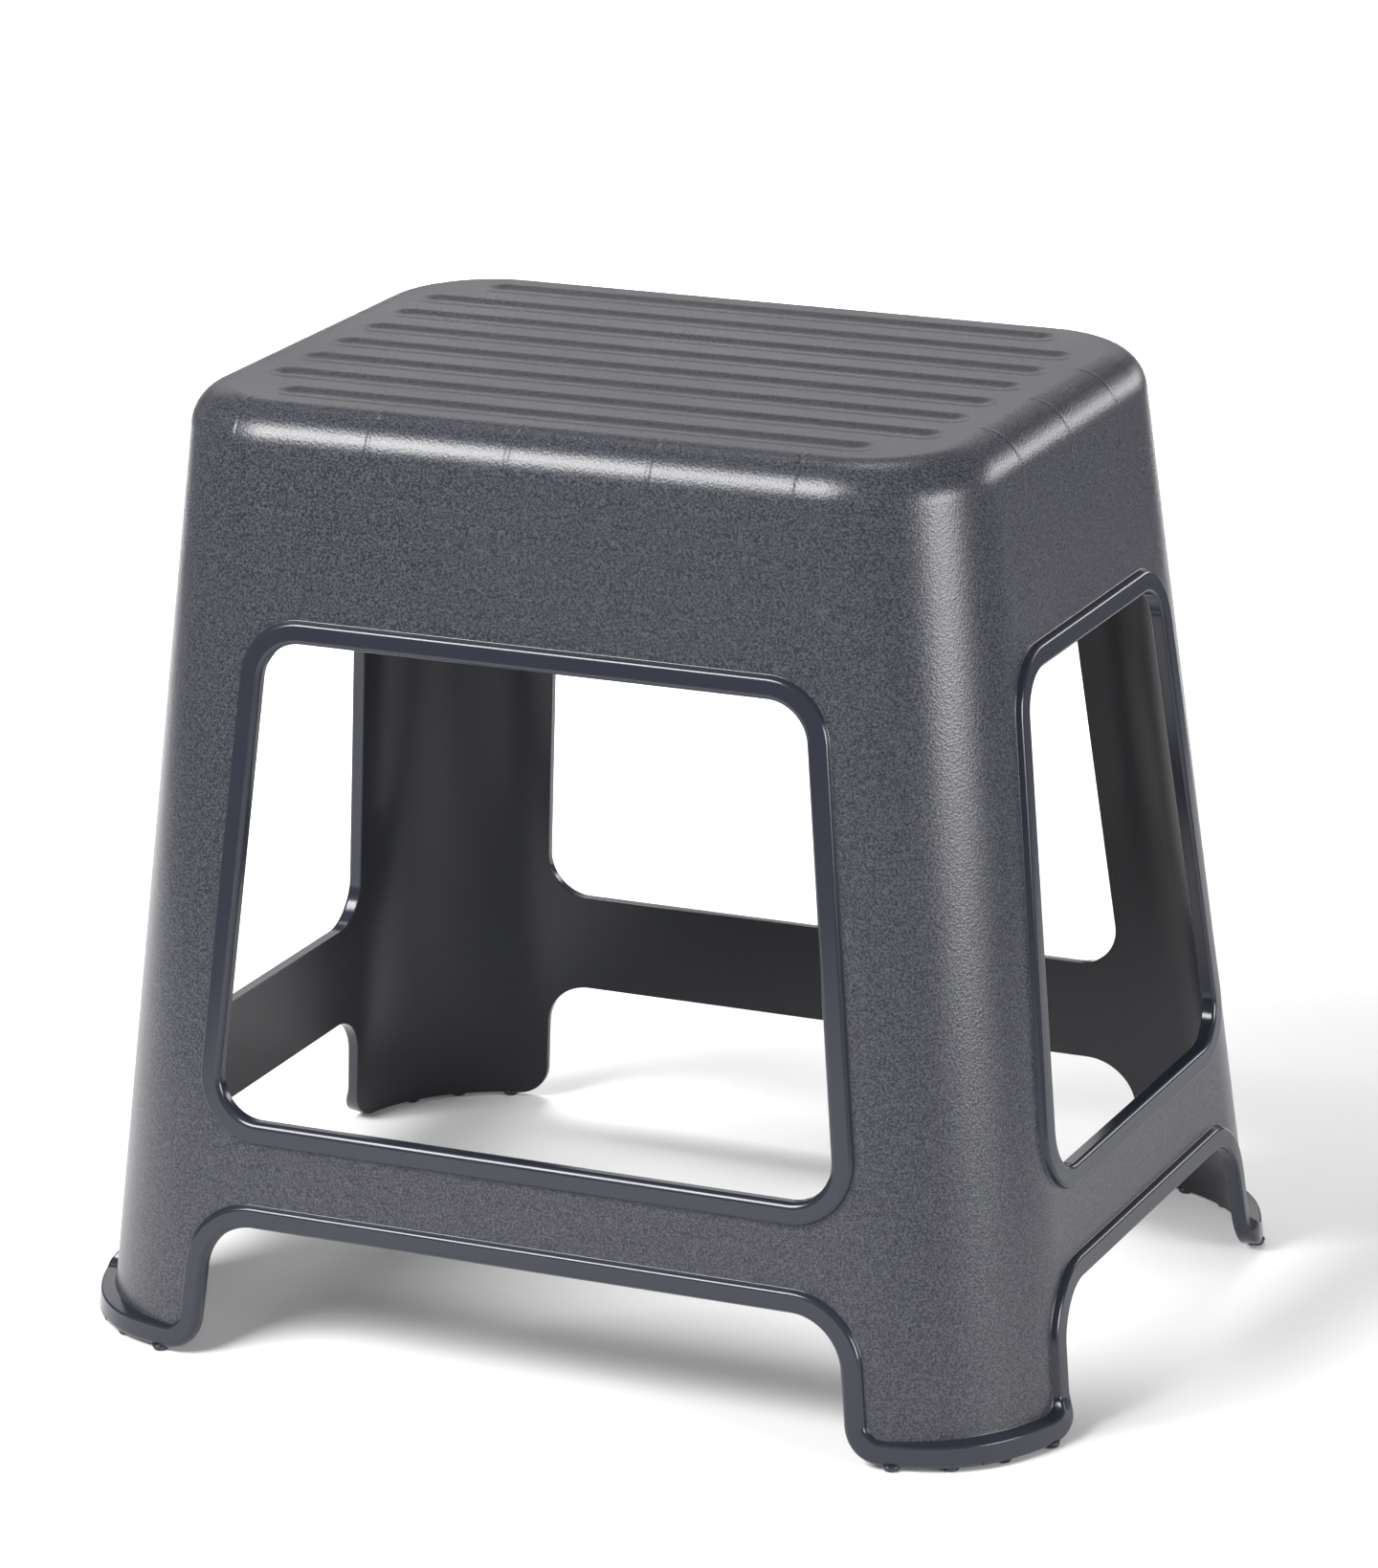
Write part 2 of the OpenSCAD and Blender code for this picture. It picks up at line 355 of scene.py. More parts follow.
def fill(poly, extra):
    """Delaunay fill of one closed polygon with extra points inside it."""
    poly = np.asarray(poly)
    pts = np.vstack([poly, extra]) if len(extra) else poly
    n = len(poly)
    edges = [(i, (i + 1) % n) for i in range(n)]
    v, _, f, _, _, _ = delaunay_2d_cdt([Vector(p) for p in pts.tolist()], edges, [], 0, 1e-6)
    v = np.array([(p.x, p.y) for p in v])
    f = np.array([list(t) for t in f if len(t) == 3])
    cen = v[f].mean(1)
    f = f[inside_poly(poly, cen)]
    return v, f


def lattice(x0, x1, y0, y1, step):
    rows = []
    h = step * 0.866
    for k, y in enumerate(np.arange(y0 + h / 2, y1, h)):
        xs = np.arange(x0 + (step / 2 if k % 2 else step), x1, step)
        rows.append(np.stack([xs, np.full(len(xs), y)], -1))
    return np.vstack(rows)


def dedupe(poly):
    out = [np.asarray(poly[0])]
    for p in poly[1:]:
        if np.linalg.norm(np.asarray(p) - out[-1]) > 1e-6:
            out.append(np.asarray(p))
    if np.linalg.norm(out[0] - out[-1]) < 1e-6:
        out.pop()
    return np.array(out)


def fillet_rows(side, us, inner):
    """Rows of the rounding over the tread edge at columns given by fraction of the half wall."""
    r = FIL - (WALL if inner else 0)
    segs = 14
    pts = np.zeros((segs + 1, len(us), 3))
    nor = np.zeros_like(pts)
    base = []
    for i, k in enumerate(us):
        # k below 1: along the flat part; above 1: in the corner, to 2 at 45 degrees
        th = max(0.0, k - 1) * math.pi / 4
        nz = (TD - G) * (math.sin(th) + math.cos(th)) + G
        de = math.atan(nz)
        zw = TOP - FIL * (1 - math.sin(de))
        zi = zw - (WALL * math.sin(de) if inner else 0)

        def at(z, o):
            u = side.flat(z) * min(k, 1) if k <= 1 else side.flat(z) + corner_m(z) * th
            return u, side.point(u, z, o)

        u0 = side.flat(zw) * min(k, 1) if k <= 1 else side.flat(zw) + corner_m(zw) * th
        h = side.out(u0, zw)
        w = side.point(u0, zw, 0.0)
        nn = h * math.cos(de) + np.array([0, 0, math.sin(de)])
        c = w - FIL * nn
        for j in range(segs + 1):
            ph = de + (math.pi / 2 - de) * j / segs
            dvec = h * math.cos(ph) + np.array([0, 0, math.sin(ph)])
            pts[j, i] = c + r * dvec
            nor[j, i] = dvec * (-1 if inner else 1)
        # the wall panel's boundary point under this column
        base.append((u0, zw) if not inner else (u0, zi))
    return pts, nor, base


def build_wall(store, side, win, arch):
    wl = window_loop(**win)
    al, foot_from, foot_x = arch_loop(side, **arch)
    w_out, w_in = strip(store, side, wl)
    a_out, a_in = strip(store, side, al, foot_from, foot_x)
    n_flat = 20
    us = list(np.linspace(0, 1, n_flat + 1)) + list(1 + np.linspace(0, 1, 13)[1:])
    zs_seam_hi = None
    for inner in (False, True):
        rows, nor, base = fillet_rows(side, us, inner)
        store.grid(rows, nor, 2 if inner else 0)
        top = [np.array(b) for b in base]
        a_b, w_b = (a_in, w_in) if inner else (a_out, w_out)
        # seam from the rounding down to the foot strip
        z_hi, z_lo = top[-1][1], a_b[-1][1]
        zs = np.linspace(z_hi, z_lo, 62)[1:-1]
        seam = [np.array([side.umax(z), z]) for z in zs]
        mid1 = [np.array([0.0, z]) for z in np.linspace(a_b[0][1], w_b[-1][1], 7)[1:-1]]
        mid2 = [np.array([0.0, z]) for z in np.linspace(w_b[0][1], top[0][1], 13)[1:-1]]
        poly = dedupe(top + seam + [np.array(p) for p in a_b[::-1]] + mid1 + [np.array(p) for p in w_b[::-1]] + mid2)
        lat = lattice(0, 200, 0, 360, 5.6)
        lat = lat[inside_poly(poly, lat)]
        lat = lat[near_edges(poly, lat, 2.6)]
        v, f = fill(poly, lat)
        u, z = v[:, 0], v[:, 1]
        if inner:
            off = -WALL / np.cos(np.arctan(side.slope(u, z)))
            # switch to the plain offset used at the openings below z 330, then follow the flared foot
            off = np.where(z > 330, off, -WALL) + flare(z)
            p = side.point(u, z, off)
            eps = 0.5
            du = side.point(u + eps, z, off) - side.point(u - eps, z, off)
            dz = side.point(u, z + eps, -WALL + flare(z + eps)) - side.point(u, z - eps, -WALL + flare(z - eps))
            n = np.cross(du, dz)
            n *= -np.sign(np.sum(n * side.out(u, z), -1))[:, None]
        else:
            p = side.point(u, z, 0.0)
            n = side.normal(u, z)
        store.add(p, n, f, 2 if inner else 0)
    return us


def mirrored(src):
    out = Store()
    v = np.vstack(src.v)
    n = np.vstack(src.n)
    for sx in (1, -1):
        for sy in (1, -1):
            s = np.array([sx, sy, 1.0])
            out.add(v * s, n * s, src.f, src.m)
    return out


quarter = Store()
FRONT, RIGHT = Side(True), Side(False)
US = build_wall(quarter, FRONT, WIN_X, ARCH_X)
build_wall(quarter, RIGHT, WIN_Y, ARCH_Y)
body = mirrored(quarter)


# ---------------------------------------------------------------- tread
def tread_height(x, y):
    """Depth below the tread and its slopes."""
    d = np.zeros_like(x)
    gx = np.zeros_like(x)
    gy = np.zeros_like(x)
    for yc, half in GROOVES:
        ex = np.maximum(np.abs(x) - (half - 6.5), 0) * np.sign(x)
        ey = y - yc
        rr = np.sqrt(ex * ex + ey * ey)
        t = np.clip(rr / GROOVE_HALF, 0, 1)
        d += GROOVE_D * (1 - t * t) ** 2
        k = GROOVE_D * 2 * (1 - t * t) * (-2 * t) / GROOVE_HALF / np.maximum(rr, 1e-9)
        gx += k * ex
        gy += k * ey
    # gate mark: a shallow dished ring round a small pip
    gxc, gyc = -2.7, 7.0
    rr = np.hypot(x - gxc, y - gyc)
    for rad, dep in ((3.0, 0.55), (1.2, -0.5)):
        t = np.clip(rr / rad, 0, 1)
        d += dep * (1 - t * t) ** 2
        k = dep * 2 * (1 - t * t) * (-2 * t) / rad / np.maximum(rr, 1e-9)
        gx += k * (x - gxc)
        gy += k * (y - gyc)
    return d, gx, gy


def top_curve(inner):
    """The flat's outline in plan, once round."""
    pf, _, _ = fillet_rows(FRONT, US, inner)
    ps, _, _ = fillet_rows(RIGHT, US, inner)
    q = list(pf[-1][:, :2]) + list(ps[-1][::-1][1:, :2])      # front middle to right middle
    q = [np.asarray(p) for p in q]
    loop = list(q)
    loop += [p * (1, -1) for p in q[::-1][1:]]
    loop += [p * (-1, -1) for p in q[1:]]
    loop += [p * (-1, 1) for p in q[::-1][1:]]
    return dedupe(loop)


curve = top_curve(False)
ys = []
for yc, _ in GROOVES:
    ys += [yc + o for o in (-8.2, -7.2, -6.1, -5.0, -3.8, -2.6, -1.3, 0, 1.3, 2.6, 3.8, 5.0, 6.1, 7.2, 8.2)]
    ys += [yc + 12.4 - 2.0, yc + 12.4, yc + 12.4 + 2.0]
ys += [-99.2 + 2.4, -99.2 - 0.4]
ys = np.array(sorted(ys))
xs = np.concatenate([np.arange(-108, 108.1, 4.0), np.arange(109.3, 141, 1.4), -np.arange(109.3, 141, 1.4)])
gx, gy = np.meshgrid(np.sort(xs), ys)
lat = np.stack([gx.ravel(), gy.ravel()], -1)
gate = np.array([-2.7, 7.0])
lat = lat[np.linalg.norm(lat - gate, axis=1) > 4.0]
ring = [gate] + [gate + r * np.array([math.cos(a), math.sin(a)]) for r in (0.4, 0.8, 1.2, 1.7, 2.3, 3.0, 3.6) for a in np.linspace(0, 2 * math.pi, 25)[:-1]]
lat = np.vstack([lat, np.array(ring)])
lat = lat[inside_poly(curve, lat)]
lat = lat[near_edges(curve, lat, 1.0)]
tv, tf = fill(curve, lat)
dd, dx, dy = tread_height(tv[:, 0], tv[:, 1])
body.add(np.column_stack([tv, TOP - dd]), np.column_stack([dx, dy, np.ones(len(dx))]), tf, 3)

# underside of the tread
curve_in = top_curve(True)
lat = lattice(-150, 150, -110, 110, 9.0)
lat = lat[inside_poly(curve_in, lat)]
lat = lat[near_edges(curve_in, lat, 4.0)]
uv, uf = fill(curve_in, lat)
body.add(np.column_stack([uv, np.full(len(uv), TOP - WALL)]), np.tile([0, 0, -1.0], (len(uv), 1)), uf, 2)


# ---------------------------------------------------------------- ribs under the tread
def rib(store, along_x, at, deep=14.0, thick=2.2):
    """A plate under the tread, its ends following the wall, its lower edge rounded and its root filleted."""
    side = RIGHT if along_x else FRONT
    z_top = TOP - WALL + 0.6
    z_bot = TOP - WALL - deep
    zs = list(np.linspace(z_top, z_bot + 1.0, 9)) + [z_bot + 0.55, z_bot + 0.2, z_bot]
    sec = []
    for z in zs:
        k = (z - z_bot)
        w = thick / 2 + 0.012 * k
        if k < 1.0:
            w = thick / 2 - (1.0 - math.sqrt(max(0.0, 1 - (1 - k) ** 2))) * 0.95
        if z > TOP - WALL - 1.6:
            w += (z - (TOP - WALL - 1.6)) ** 2 * 0.45
        sec.append((w, z))
    rows = []
    for sx in (-1, 1):
        for w, z in (sec if sx < 0 else sec[::-1]):
            # length to mid wall at this height
            if z > TOP - FIL:
                reach = math.sqrt(max(0.0, (FIL - WALL / 2) ** 2 - (z - (TOP - FIL)) ** 2))
                mid = (half_a(TOP - FIL) if along_x else half_b(TOP - FIL)) - FIL + reach - 0.5
            else:
                mid = (half_a(z) if along_x else half_b(z)) - WALL / 2
            n = 24
            line = []
            for t in np.linspace(-1, 1, n + 1):
                p = (t * mid, at + sx * w, z) if along_x else (at + sx * w, t * mid, z)
                line.append(p)
            rows.append(line)
    rows.append(rows[0])
    p = np.array(rows)
    du = np.gradient(p, axis=1)
    dv = np.gradient(p, axis=0)
    n = np.cross(du, dv)
    centre = np.array([0, at, z_bot + deep / 2]) if along_x else np.array([at, 0, z_bot + deep / 2])
    vec = p - centre
    vec[..., 0 if along_x else 1] = 0
    sgn = np.sign(np.sum(n * vec, -1))
    n *= np.where(sgn == 0, 1, sgn)[..., None]
    store.grid(p, n, 2)


for y in (-37.2, 37.2):
    rib(body, True, y)
for x in (-78.0, 0.0, 78.0):
    rib(body, False, x)


# ---------------------------------------------------------------- to Blender
def to_object(store, name, weld=True):
    v = np.vstack(store.v)
    n = np.vstack(store.n)
    faces, mats = store.f, store.m
    if weld:
        key = np.round(v / 0.002).astype(np.int64)
        _, first, inv = np.unique(key, axis=0, return_index=True, return_inverse=True)
        inv = inv.ravel()
        acc = np.zeros((len(first), 3))
        np.add.at(acc, inv, n)
        v = v[first]
        n = acc / np.maximum(np.linalg.norm(acc, axis=1, keepdims=True), 1e-9)
    else:
        inv = np.arange(len(v))
    good, gm = [], []
    for f, k in zip(faces, mats):
        q = [int(inv[i]) for i in f]
        q = [q[i] for i in range(len(q)) if q[i] != q[i - 1]]
        if len(set(q)) < 3 or len(set(q)) != len(q):
            continue
        good.append(q)
        gm.append(k)
    # face the same way as the vertex normals
    out = []
    for q in good:
        a, b, c = v[q[0]], v[q[1]], v[q[2]]
        fn = np.cross(b - a, c - a)
        if len(q) == 4:
            fn = fn + np.cross(c - a, v[q[3]] - a)
        if fn @ (n[q].sum(0)) < 0:
            q = q[::-1]
        out.append(q)
    used = np.zeros(len(v), bool)
    for q in out:
        used[q] = True
    remap = np.cumsum(used) - 1
    v, n = v[used], n[used]
    out = [[int(remap[i]) for i in q] for q in out]
    me = bpy.data.meshes.new(name)
    me.from_pydata((v * 0.001).tolist(), [], out)
    me.update()
    me.polygons.foreach_set("use_smooth", np.ones(len(out), bool))
    me.polygons.foreach_set("material_index", np.array(gm, np.int32))
    me.normals_split_custom_set_from_vertices([tuple(x) for x in n])
    me.validate()
    ob = bpy.data.objects.new(name, me)
    bpy.context.scene.collection.objects.link(ob)
    return ob


shell = to_object(body, "moulded_body")


# ---------------------------------------------------------------- grip studs
def lathe(name, centre, prof, segs=40):
    st = Store()
    ang = np.linspace(0, 2 * math.pi, segs + 1)
    pr = np.array(prof)
    dpr = np.gradient(pr, axis=0)
    p = np.zeros((len(pr), segs + 1, 3))
    n = np.zeros_like(p)
    for i, a in enumerate(ang):
        c, s = math.cos(a), math.sin(a)
        p[:, i] = np.stack([centre[0] + pr[:, 0] * c, centre[1] + pr[:, 0] * s, pr[:, 1]], -1)
        n[:, i] = np.stack([dpr[:, 1] * c, dpr[:, 1] * s, -dpr[:, 0]], -1)
    n[0, :] = (0, 0, -1)
    n[-1, :] = (0, 0, 1)
    st.grid(p, n, 0)
    return to_object(st, name)


studs = []
for node, ob in sorted(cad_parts.items()):
    if not node.startswith("stud_"):
        continue
    lo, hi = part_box(node)
    c = [(lo.x + hi.x) * 500, (lo.y + hi.y) * 500]
    if node.endswith("_1"):
        c[1] -= math.copysign(2.8, c[1])      # the flange is thinner there, so the stud sits further in
    if node.endswith("_4"):
        c[0] -= math.copysign(1.5, c[0])
    r = (hi.x - lo.x) * 500
    z1 = hi.z * 1000
    prof = [(0.0, 0.0), (r * 0.35, 0.0), (r * 0.55, 0.03)]
    rc = 1.1
    for t in np.linspace(0, math.pi / 2, 8):
        prof.append((r - rc + rc * math.sin(t), rc - rc * math.cos(t)))
    # the pad swells into the flange, and only a slender stem goes on up inside it
    prof += [(r + 0.04, 1.2), (r + 0.16, 1.45), (r + 0.30, 1.7), (r + 0.32, 2.1), (r + 0.1, 2.5), (1.9, 2.8), (1.7, 3.1), (1.7, 4.2)]
    for t in np.linspace(0, math.pi / 2, 6)[1:]:
        prof.append((0.7 + 1.0 * math.cos(t), z1 - 1.0 + 1.0 * math.sin(t)))
    prof.append((0.0, z1))
    s = lathe(node.replace("stud", "grip"), c, prof)
    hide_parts(node)
    studs.append(s)


# ---------------------------------------------------------------- materials
def links(mat):
    mat.use_nodes = True
    nt = mat.node_tree
    nt.nodes.clear()
    return nt, nt.nodes, nt.links


def node(nodes, kind, **kw):
    n = nodes.new(kind)
    for k, v in kw.items():
        setattr(n, k, v)
    return n


def plastic(name, base, dark, light, rough, rough_var, grain=None, grain_bump=0.0, coat=0.0, spec=0.5, lines=False):
    """Moulded polypropylene: cloudy tint, speckled grain in colour and relief, and uneven sheen."""
    mat = bpy.data.materials.new(name)
    nt, N, L = links(mat)
    out = node(N, "ShaderNodeOutputMaterial")
    bs = node(N, "ShaderNodeBsdfPrincipled")
    L.new(bs.outputs["BSDF"], out.inputs["Surface"])
    bs.inputs["Metallic"].default_value = 0.0
    bs.inputs["IOR"].default_value = 1.49
    bs.inputs["Specular IOR Level"].default_value = spec
    bs.inputs["Coat Weight"].default_value = coat
    bs.inputs["Coat Roughness"].default_value = 0.12
    tc = node(N, "ShaderNodeTexCoord")
    cloud = node(N, "ShaderNodeTexNoise", noise_dimensions="3D")
    cloud.inputs["Scale"].default_value = 9.0
    cloud.inputs["Detail"].default_value = 0.0
    cloud.inputs["Roughness"].default_value = 0.6
    L.new(tc.outputs["Object"], cloud.inputs["Vector"])
    ramp = node(N, "ShaderNodeValToRGB")
    ramp.color_ramp.elements[0].position = 0.1
    ramp.color_ramp.elements[0].color = (*dark, 1)
    ramp.color_ramp.elements[1].position = 0.9
    ramp.color_ramp.elements[1].color = (*base, 1)
    L.new(cloud.outputs["Fac"], ramp.inputs["Fac"])
    colour = ramp.outputs["Color"]
    bump_src = None
    if grain:
        # two sizes of grain: fine pits and slightly larger blotches
        fine = node(N, "ShaderNodeTexNoise", noise_dimensions="3D")
        fine.inputs["Scale"].default_value = grain
        fine.inputs["Detail"].default_value = 3.0
        fine.inputs["Roughness"].default_value = 0.7
        L.new(tc.outputs["Object"], fine.inputs["Vector"])
        pits = node(N, "ShaderNodeTexVoronoi", feature="F1", distance="EUCLIDEAN")
        pits.inputs["Scale"].default_value = grain * 0.8
        L.new(tc.outputs["Object"], pits.inputs["Vector"])
        sp = node(N, "ShaderNodeValToRGB")
        sp.color_ramp.elements[0].position = 0.43
        sp.color_ramp.elements[0].color = (0, 0, 0, 1)
        sp.color_ramp.elements[1].position = 0.60
        sp.color_ramp.elements[1].color = (1, 1, 1, 1)
        L.new(fine.outputs["Fac"], sp.inputs["Fac"])
        mix = node(N, "ShaderNodeMix", data_type="RGBA", blend_type="MIX")
        L.new(sp.outputs["Color"], mix.inputs["Factor"])
        L.new(colour, mix.inputs["A"])
        mix.inputs["B"].default_value = (*light, 1)
        colour = mix.outputs["Result"]
        add = node(N, "ShaderNodeMath", operation="ADD")
        L.new(fine.outputs["Fac"], add.inputs[0])
        L.new(pits.outputs["Distance"], add.inputs[1])
        bump_src = add.outputs["Value"]
        bump = node(N, "ShaderNodeBump")
        bump.inputs["Strength"].default_value = grain_bump
        bump.inputs["Distance"].default_value = 0.0004
        L.new(bump_src, bump.inputs["Height"])
        last = bump
        if lines:
            # faint moulding marks across the rounded edge: on the long sides, and three on each short side
            sep = node(N, "ShaderNodeSeparateXYZ")
            L.new(tc.outputs["Object"], sep.inputs["Vector"])
            sh = node(N, "ShaderNodeMath", operation="ADD")
            sh.inputs[1].default_value = 0.0120
            L.new(sep.outputs["X"], sh.inputs[0])
            pp = node(N, "ShaderNodeMath", operation="PINGPONG")
            pp.inputs[1].default_value = 0.0279
            L.new(sh.outputs["Value"], pp.inputs[0])
            ln = node(N, "ShaderNodeMapRange", interpolation_type="SMOOTHSTEP")
            ln.inputs["From Min"].default_value = 0.0
            ln.inputs["From Max"].default_value = 0.0016
            ln.inputs["To Min"].default_value = 1.0
            ln.inputs["To Max"].default_value = 0.0
            L.new(pp.outputs["Value"], ln.inputs["Value"])
            mz = node(N, "ShaderNodeMapRange", interpolation_type="SMOOTHSTEP")
            mz.inputs["From Min"].default_value = 0.330
            mz.inputs["From Max"].default_value = 0.345
            L.new(sep.outputs["Z"], mz.inputs["Value"])
            ay = node(N, "ShaderNodeMath", operation="ABSOLUTE")
            L.new(sep.outputs["Y"], ay.inputs[0])
            my = node(N, "ShaderNodeMapRange")
            my.inputs["From Min"].default_value = 0.094
            my.inputs["From Max"].default_value = 0.100
            L.new(ay.outputs["Value"], my.inputs["Value"])
            m1 = node(N, "ShaderNodeMath", operation="MULTIPLY")
            L.new(ln.outputs["Result"], m1.inputs[0])
            L.new(mz.outputs["Result"], m1.inputs[1])
            m2 = node(N, "ShaderNodeMath", operation="MULTIPLY")
            L.new(m1.outputs["Value"], m2.inputs[0])
            L.new(my.outputs["Result"], m2.inputs[1])
            py = node(N, "ShaderNodeMath", operation="PINGPONG")
            py.inputs[1].default_value = 0.0232
            L.new(sep.outputs["Y"], py.inputs[0])
            ly = node(N, "ShaderNodeMapRange", interpolation_type="SMOOTHSTEP")
            ly.inputs["From Min"].default_value = 0.0
            ly.inputs["From Max"].default_value = 0.0016
            ly.inputs["To Min"].default_value = 1.0
            ly.inputs["To Max"].default_value = 0.0
            L.new(py.outputs["Value"], ly.inputs["Value"])
            ax = node(N, "ShaderNodeMath", operation="ABSOLUTE")
            L.new(sep.outputs["X"], ax.inputs[0])
            mx = node(N, "ShaderNodeMapRange")
            mx.inputs["From Min"].default_value = 0.132
            mx.inputs["From Max"].default_value = 0.138
            L.new(ax.outputs["Value"], mx.inputs["Value"])
            mc = node(N, "ShaderNodeMath", operation="LESS_THAN")
            mc.inputs[1].default_value = 0.070
            L.new(ay.outputs["Value"], mc.inputs[0])
            m3 = node(N, "ShaderNodeMath", operation="MULTIPLY")
            L.new(ly.outputs["Result"], m3.inputs[0])
            L.new(mz.outputs["Result"], m3.inputs[1])
            m4 = node(N, "ShaderNodeMath", operation="MULTIPLY")
            L.new(m3.outputs["Value"], m4.inputs[0])
            L.new(mx.outputs["Result"], m4.inputs[1])
            m5 = node(N, "ShaderNodeMath", operation="MULTIPLY")
            L.new(m4.outputs["Value"], m5.inputs[0])
            L.new(mc.outputs["Value"], m5.inputs[1])
            m6 = node(N, "ShaderNodeMath", operation="ADD")
            L.new(m2.outputs["Value"], m6.inputs[0])
            L.new(m5.outputs["Value"], m6.inputs[1])
            b2 = node(N, "ShaderNodeBump")
            b2.inputs["Strength"].default_value = 0.55
            b2.inputs["Distance"].default_value = 0.0003
            L.new(m6.outputs["Value"], b2.inputs["Height"])
            L.new(bump.outputs["Normal"], b2.inputs["Normal"])
            last = b2
        L.new(last.outputs["Normal"], bs.inputs["Normal"])
    else:
        wav = node(N, "ShaderNodeTexNoise", noise_dimensions="3D")
        wav.inputs["Scale"].default_value = 30.0
        wav.inputs["Detail"].default_value = 1.0
        L.new(tc.outputs["Object"], wav.inputs["Vector"])
        bump = node(N, "ShaderNodeBump")
        bump.inputs["Strength"].default_value = grain_bump
        bump.inputs["Distance"].default_value = 0.0005
        L.new(wav.outputs["Fac"], bump.inputs["Height"])
        L.new(bump.outputs["Normal"], bs.inputs["Normal"])
    L.new(colour, bs.inputs["Base Color"])
    rv = node(N, "ShaderNodeTexNoise", noise_dimensions="3D")
    rv.inputs["Scale"].default_value = 14.0
    rv.inputs["Detail"].default_value = 0.0
    L.new(tc.outputs["Object"], rv.inputs["Vector"])
    mr = node(N, "ShaderNodeMapRange")
    mr.inputs["From Min"].default_value = 0.1
    mr.inputs["From Max"].default_value = 0.9
    mr.inputs["To Min"].default_value = rough - rough_var
    mr.inputs["To Max"].default_value = rough + rough_var
    L.new(rv.outputs["Fac"], mr.inputs["Value"])
    L.new(mr.outputs["Result"], bs.inputs["Roughness"])
    return mat


panel = plastic("grained_panel", (0.0165, 0.0178, 0.0248), (0.0145, 0.0157, 0.0220), (0.0715, 0.0728, 0.0850), 0.29, 0.03, grain=1300.0, grain_bump=0.16, lines=True)
gloss = plastic("smooth_rim", (0.0205, 0.0225, 0.0330), (0.0185, 0.0203, 0.0298), (0.05, 0.05, 0.06), 0.17, 0.025, grain_bump=0.03)
# the inside is the same smooth plastic as the rims; its darker colour and weaker specular are painted shade for the
# dim interior
inside = plastic("smooth_inside_painted_shade", (0.0150, 0.0157, 0.0198), (0.0134, 0.0140, 0.0178), (0.05, 0.05, 0.06), 0.29, 0.03, grain_bump=0.03, spec=0.38)
# the top is the same grained plastic as the walls; its darker colours are painted shade that holds down the brightly
# lit top
tread = plastic("grained_tread_painted_shade", (0.0140, 0.0148, 0.0195), (0.0122, 0.0129, 0.0172), (0.0620, 0.0630, 0.0720), 0.29, 0.03, grain=1300.0, grain_bump=0.12)
rubber = plastic("stud_rubber", (0.0200, 0.0215, 0.0300), (0.0180, 0.0194, 0.0272), (0.05, 0.05, 0.06), 0.22, 0.03, grain_bump=0.03)

for m in (panel, gloss, inside, tread):
    shell.data.materials.append(m)
for s in studs:
    s.data.materials.append(rubber)
    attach(s, "root")
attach(shell, "root")
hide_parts("body")

# ---------------------------------------------------------------- floor, light, camera
# pale paper laid along the line of sight and lifted a little at its far end
TURN = math.radians(24.958)
side_dir = Vector((math.cos(TURN), math.sin(TURN), 0))
away = Vector((-math.sin(TURN), math.cos(TURN), 0))
prof = [(-2.4, 0.0), (-1.2, 0.0), (0.0, 0.0), (1.0, 0.0), (1.9, 0.0)]
for t in np.linspace(0, 0.42, 14)[1:]:
    prof.append((1.9 + 3.0 * math.sin(t), 3.0 - 3.0 * math.cos(t)))
vs, fs = [], []
for a, z in prof:
    for e in (-0.80, 0.80):
        q = side_dir * e + away * a
        vs.append((q.x, q.y, z))
for i in range(len(prof) - 1):
    fs.append((2 * i, 2 * i + 1, 2 * i + 3, 2 * i + 2))
me = bpy.data.meshes.new("floor")
me.from_pydata(vs, [], fs)
me.update()
me.polygons.foreach_set("use_smooth", np.ones(len(fs), bool))
floor = bpy.data.objects.new("floor", me)
bpy.context.scene.collection.objects.link(floor)
fm = bpy.data.materials.new("paper_sweep")
nt, N, L = links(fm)
o = node(N, "ShaderNodeOutputMaterial")
b = node(N, "ShaderNodeBsdfPrincipled")
L.new(b.outputs["BSDF"], o.inputs["Surface"])
b.inputs["Base Color"].default_value = (0.92, 0.92, 0.92, 1)
b.inputs["Roughness"].default_value = 1.0
b.inputs["Specular IOR Level"].default_value = 0.0
floor.data.materials.append(fm)

scene = bpy.context.scene
world = bpy.data.worlds.new("studio")
scene.world = world
world.use_nodes = True
bg = world.node_tree.nodes["Background"]
bg.inputs["Color"].default_value = (0.97, 0.98, 1.0, 1)
bg.inputs["Strength"].default_value = 0.22


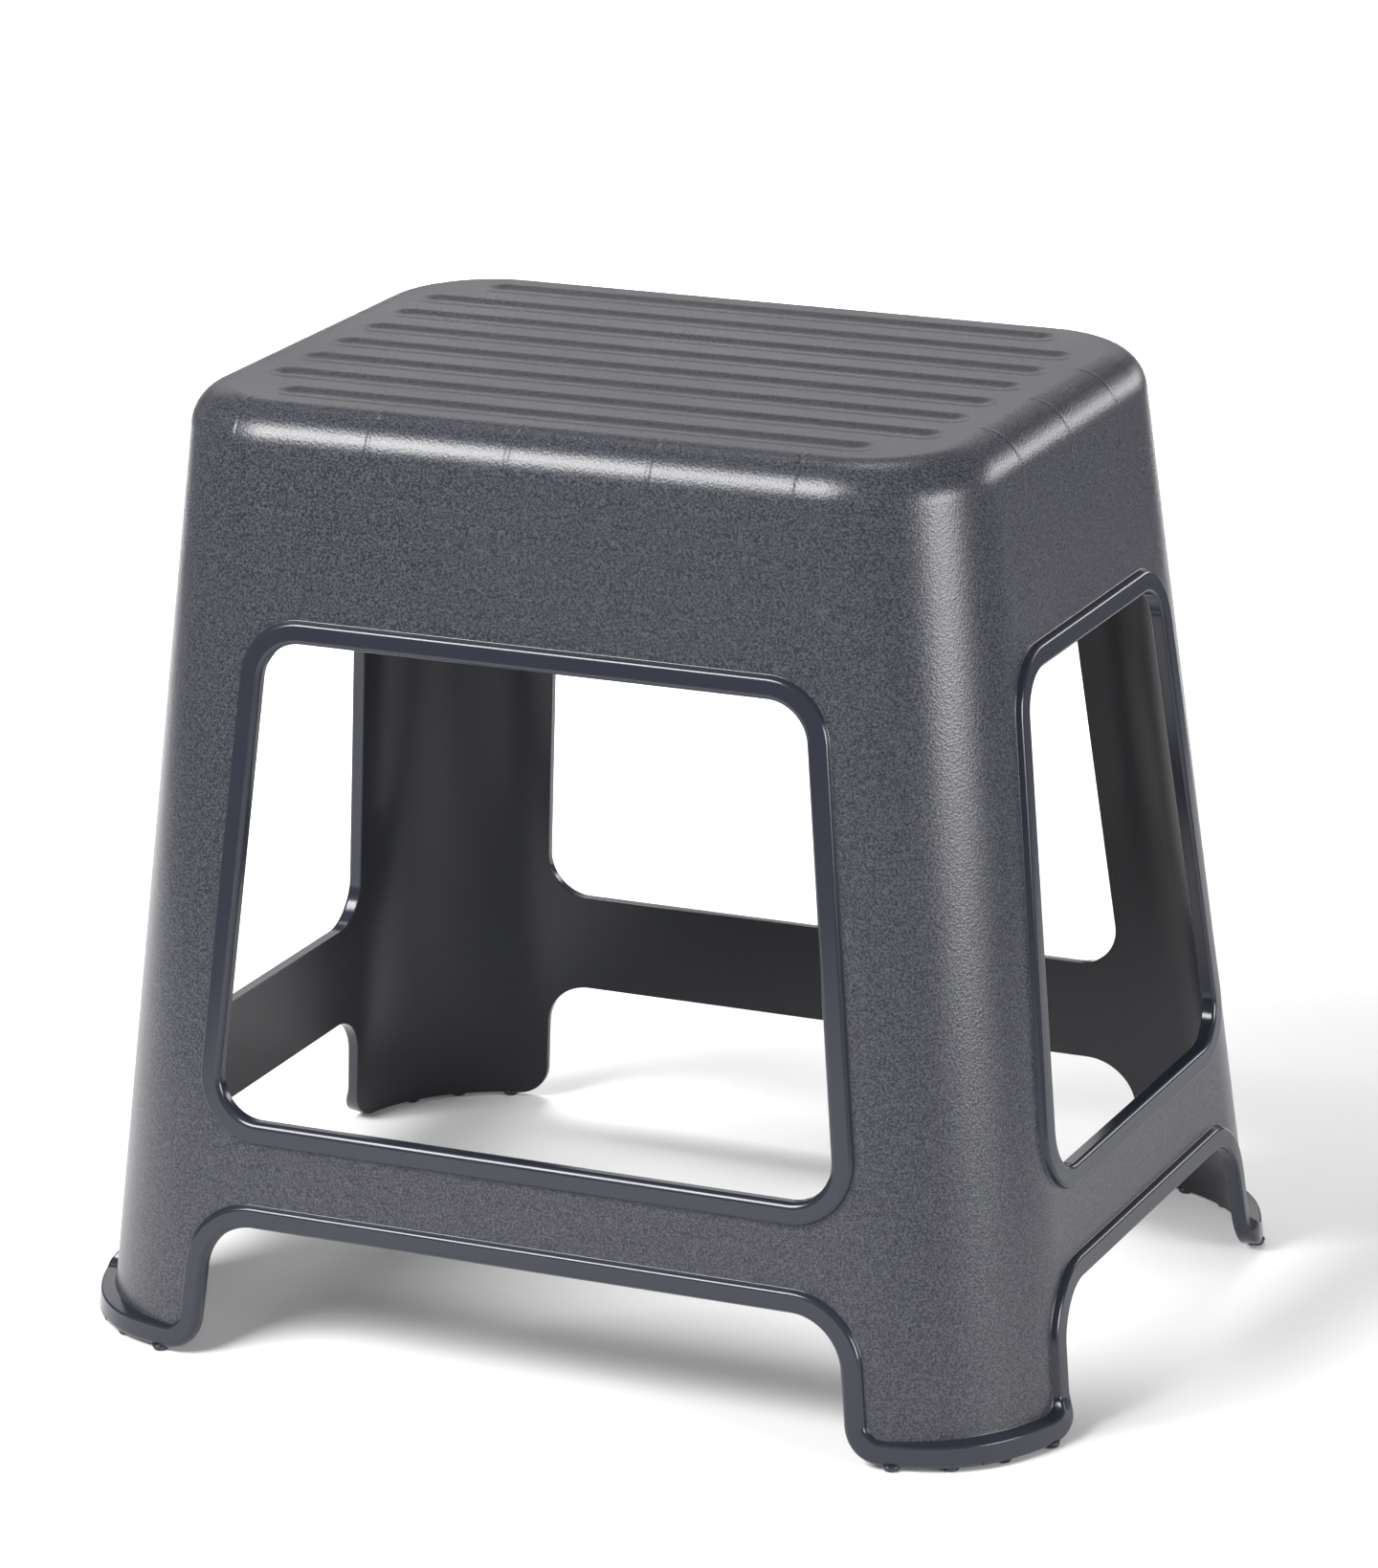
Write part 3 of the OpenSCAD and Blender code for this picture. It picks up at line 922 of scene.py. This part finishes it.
def softbox(name, loc, target, size_x, size_y, radiance, spread=180):
    """A softbox at a place, facing a point, with its brightness given as seen in a mirror."""
    ld = bpy.data.lights.new(name, "AREA")
    ld.shape = "RECTANGLE"
    ld.size, ld.size_y = size_x, size_y
    ld.energy = radiance * math.pi * size_x * size_y
    ld.spread = math.radians(spread)
    lo = bpy.data.objects.new(name, ld)
    lo.location = loc
    lo.rotation_euler = (Vector(target) - Vector(loc)).to_track_quat("-Z", "Y").to_euler()
    scene.collection.objects.link(lo)
    return lo


softbox("key_front_left", (-0.70, -1.20, 1.34), (0, 0, 0.30), 0.95, 0.78, 21.0)
softbox("side_right", (1.72, -0.37, 0.50), (0, 0, 0.30), 0.86, 0.68, 3.1, 80)
softbox("low_back_right", (0.88, 1.56, 0.62), (0, 0, 0.36), 1.2, 0.36, 0.70, 60)
softbox("low_back_left", (-1.25, 2.72, 1.26), (0, 0, 0.36), 2.6, 0.50, 0.32, 90)
back = away * 1.9
softbox("paper_wash", (back.x, back.y, 2.2), (back.x, back.y, 0), 1.6, 2.2, 4.2, 70)

# camera, from its target, turn and distance
AZ, EL, ROLL = math.radians(24.958), math.radians(17.556), math.radians(-0.971)
DIST = 2.5252
tgt = Vector((0.0036, 0.0015, 0.1965))
back = Vector((math.sin(AZ) * math.cos(EL), -math.cos(AZ) * math.cos(EL), math.sin(EL)))
fwd = -back
right = fwd.cross(Vector((0, 0, 1))).normalized()
up = right.cross(fwd)
r2 = math.cos(ROLL) * right + math.sin(ROLL) * up
u2 = -math.sin(ROLL) * right + math.cos(ROLL) * up
cam_data = bpy.data.cameras.new("camera")
cam_data.sensor_fit = "AUTO"
cam_data.sensor_width = 36.0
cam_data.lens = 6981.5 * 36.0 / 1639.0
cam_data.clip_start, cam_data.clip_end = 0.05, 50
cam = bpy.data.objects.new("camera", cam_data)
scene.collection.objects.link(cam)
m = Matrix((
    (r2.x, u2.x, back.x, 0), (r2.y, u2.y, back.y, 0), (r2.z, u2.z, back.z, 0), (0, 0, 0, 1)))
m.translation = tgt + DIST * back
cam.matrix_world = m
scene.camera = cam
scene.view_settings.view_transform = "Standard"
